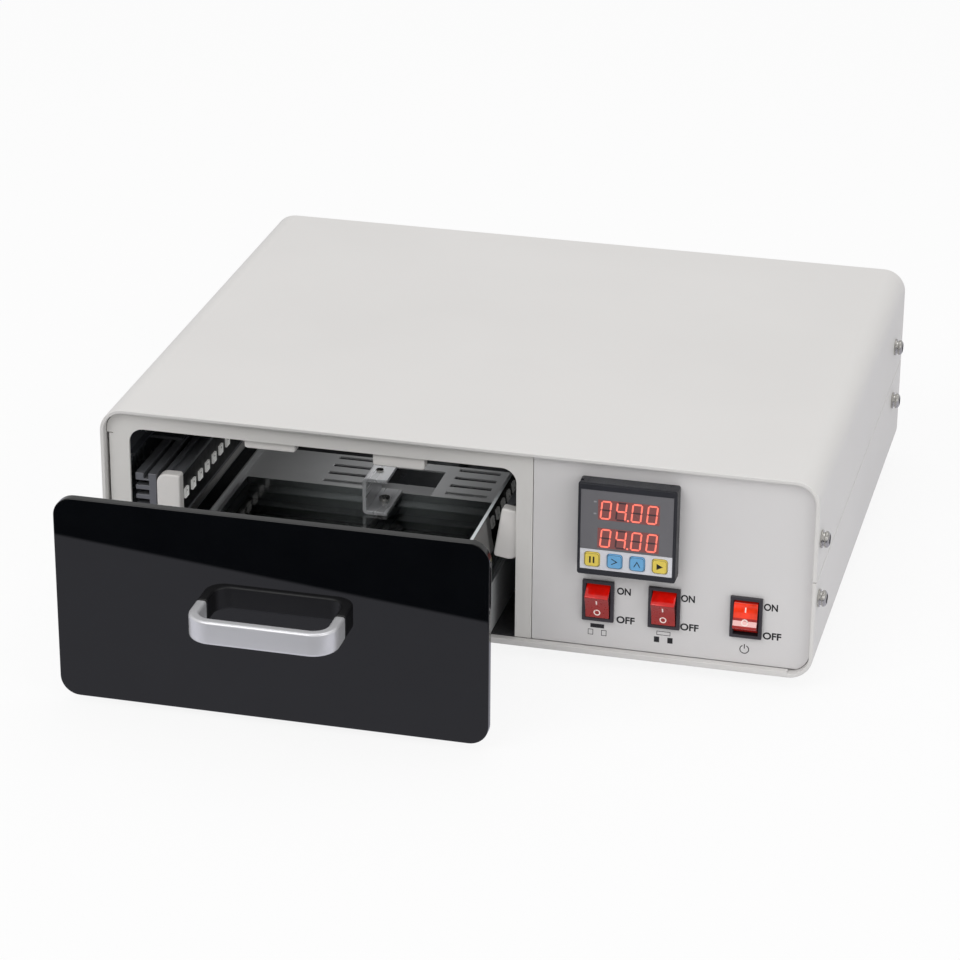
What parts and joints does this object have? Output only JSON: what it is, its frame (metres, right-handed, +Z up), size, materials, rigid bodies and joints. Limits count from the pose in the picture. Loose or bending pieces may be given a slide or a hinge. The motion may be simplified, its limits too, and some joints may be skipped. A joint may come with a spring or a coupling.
{
  "type": "dental lab light curing unit",
  "caption": "Bench light curing unit for dental resin work: a white sheet case with a pull-out glass drawer between light bars, a timer and rocker switches.",
  "frame": {"origin": "on the table plane, under the middle of the whole device's bounding box with its drawer half open", "axes": "+X to the right seen from the front, +Y to the back, +Z up; the drawer opens towards -Y"},
  "size_m": [0.3654, 0.434, 0.1095],
  "materials": {
    "shell_paint": "satin",
    "frame_paint": "satin",
    "panel_paint": "satin",
    "bay_black": "satin",
    "floor_black": "textured",
    "inner_steel": "satin",
    "screw_steel": "polished",
    "foot_rubber": "matte",
    "front_acrylic": "polished",
    "handle_silver": "satin",
    "handle_black": "matte",
    "drawer_grey": "satin",
    "clear_glass": "polished",
    "bracket_metal": "satin",
    "runner_steel": "satin",
    "lamp_housing": "satin",
    "cap_white": "satin",
    "led_board": "satin",
    "timer_black": "satin",
    "timer_glass": "polished",
    "display_red": "polished",
    "keypad_white": "satin",
    "key_yellow": "satin",
    "key_blue": "satin",
    "switch_black": "satin",
    "rocker_red": "polished",
    "supply_metal": "satin",
    "fan_black": "matte",
    "guard_wire": "polished"
  },
  "bodies": {
    "case": {"top_cover": "shell_paint", "base_tray": "shell_paint", "front_frame": "frame_paint", "control_panel": "panel_paint", "rear_panel": "panel_paint", "partition_wall": "inner_steel", "bay_liner": "bay_black", "bay_floor": "floor_black", "side_screws": "screw_steel", "side_washers": "screw_steel", "feet": "foot_rubber", "foot_screws": "screw_steel", "fixed_rail": "runner_steel", "rail_screws": "screw_steel", "lamp_left": "lamp_housing", "lamp_right": "lamp_housing", "lamp_top_left": "lamp_housing", "lamp_top_right": "lamp_housing", "led_strip_left": "led_board", "led_strip_right": "led_board", "led_strip_top_left": "led_board", "led_strip_top_right": "led_board", "lamp_end_caps": "cap_white", "side_heat_sink": "lamp_housing", "lamp_brackets": "inner_steel", "timer_bezel": "timer_black", "timer_window": "timer_glass", "timer_display": "display_red", "timer_keypad": "keypad_white", "timer_case": "timer_black", "timer_clamp": "timer_black", "switch_body_top_lamps": "switch_black", "switch_body_side_lamps": "switch_black", "switch_body_power": "switch_black", "power_supply": "supply_metal", "mains_inlet": "switch_black", "fuse_drawer": "switch_black", "fan_frame": "fan_black", "fan_guard": "guard_wire", "fan_screws": "screw_steel"},
    "drawer": {"drawer_front": "front_acrylic", "front_screws": "screw_steel", "handle_grip": "handle_silver", "handle_base": "handle_black", "handle_screws": "screw_steel", "drawer_frame": "drawer_grey", "glass_plate": "clear_glass", "side_pane": "clear_glass", "work_bracket": "bracket_metal", "bracket_screws": "screw_steel", "moving_rail": "runner_steel"},
    "runner_balls": {"ball_cage": "screw_steel"},
    "key_pause": {"timer_key_pause": "key_yellow"},
    "key_next": {"timer_key_next": "key_blue"},
    "key_up": {"timer_key_up": "key_blue"},
    "key_run": {"timer_key_run": "key_yellow"},
    "rocker_a": {"rocker_top_lamps": "rocker_red"},
    "rocker_b": {"rocker_side_lamps": "rocker_red"},
    "rocker_c": {"rocker_power": "rocker_red"},
    "fan_wheel": {"fan_rotor": "fan_black"}
  },
  "joints": [
    {"name": "drawer_slide", "type": "slide", "parent": "case", "child": "drawer", "axis": [0, -1, 0], "range_m": [-0.093, 0.09]},
    {"name": "ball_cage_slide", "type": "slide", "parent": "case", "child": "runner_balls", "axis": [0, -1, 0], "range_m": [-0.0465, 0.045]},
    {"name": "top_lamps_switch", "type": "hinge", "parent": "case", "child": "rocker_a", "pos_m": [0.07265, -0.0696, 0.0346], "axis": [1, 0, 0], "range_deg": [-33, 0]},
    {"name": "side_lamps_switch", "type": "hinge", "parent": "case", "child": "rocker_b", "pos_m": [0.10515, -0.0696, 0.0346], "axis": [1, 0, 0], "range_deg": [-33, 0]},
    {"name": "power_switch", "type": "hinge", "parent": "case", "child": "rocker_c", "pos_m": [0.14513, -0.0696, 0.0346], "axis": [1, 0, 0], "range_deg": [0, 33]},
    {"name": "key_pause_press", "type": "slide", "parent": "case", "child": "key_pause", "axis": [0, 1, 0], "range_m": [0, 0.0006], "stiffness_N_per_m": 400},
    {"name": "key_next_press", "type": "slide", "parent": "case", "child": "key_next", "axis": [0, 1, 0], "range_m": [0, 0.0006], "stiffness_N_per_m": 400},
    {"name": "key_up_press", "type": "slide", "parent": "case", "child": "key_up", "axis": [0, 1, 0], "range_m": [0, 0.0006], "stiffness_N_per_m": 400},
    {"name": "key_run_press", "type": "slide", "parent": "case", "child": "key_run", "axis": [0, 1, 0], "range_m": [0, 0.0006], "stiffness_N_per_m": 400},
    {"name": "fan_spin", "type": "hinge", "parent": "case", "child": "fan_wheel", "pos_m": [-0.0605, 0.203, 0.058], "axis": [0, 1, 0], "continuous": true}
  ],
  "couplings": [
    {"joint": "ball_cage_slide", "follows": "drawer_slide", "ratio": 0.5}
  ]
}
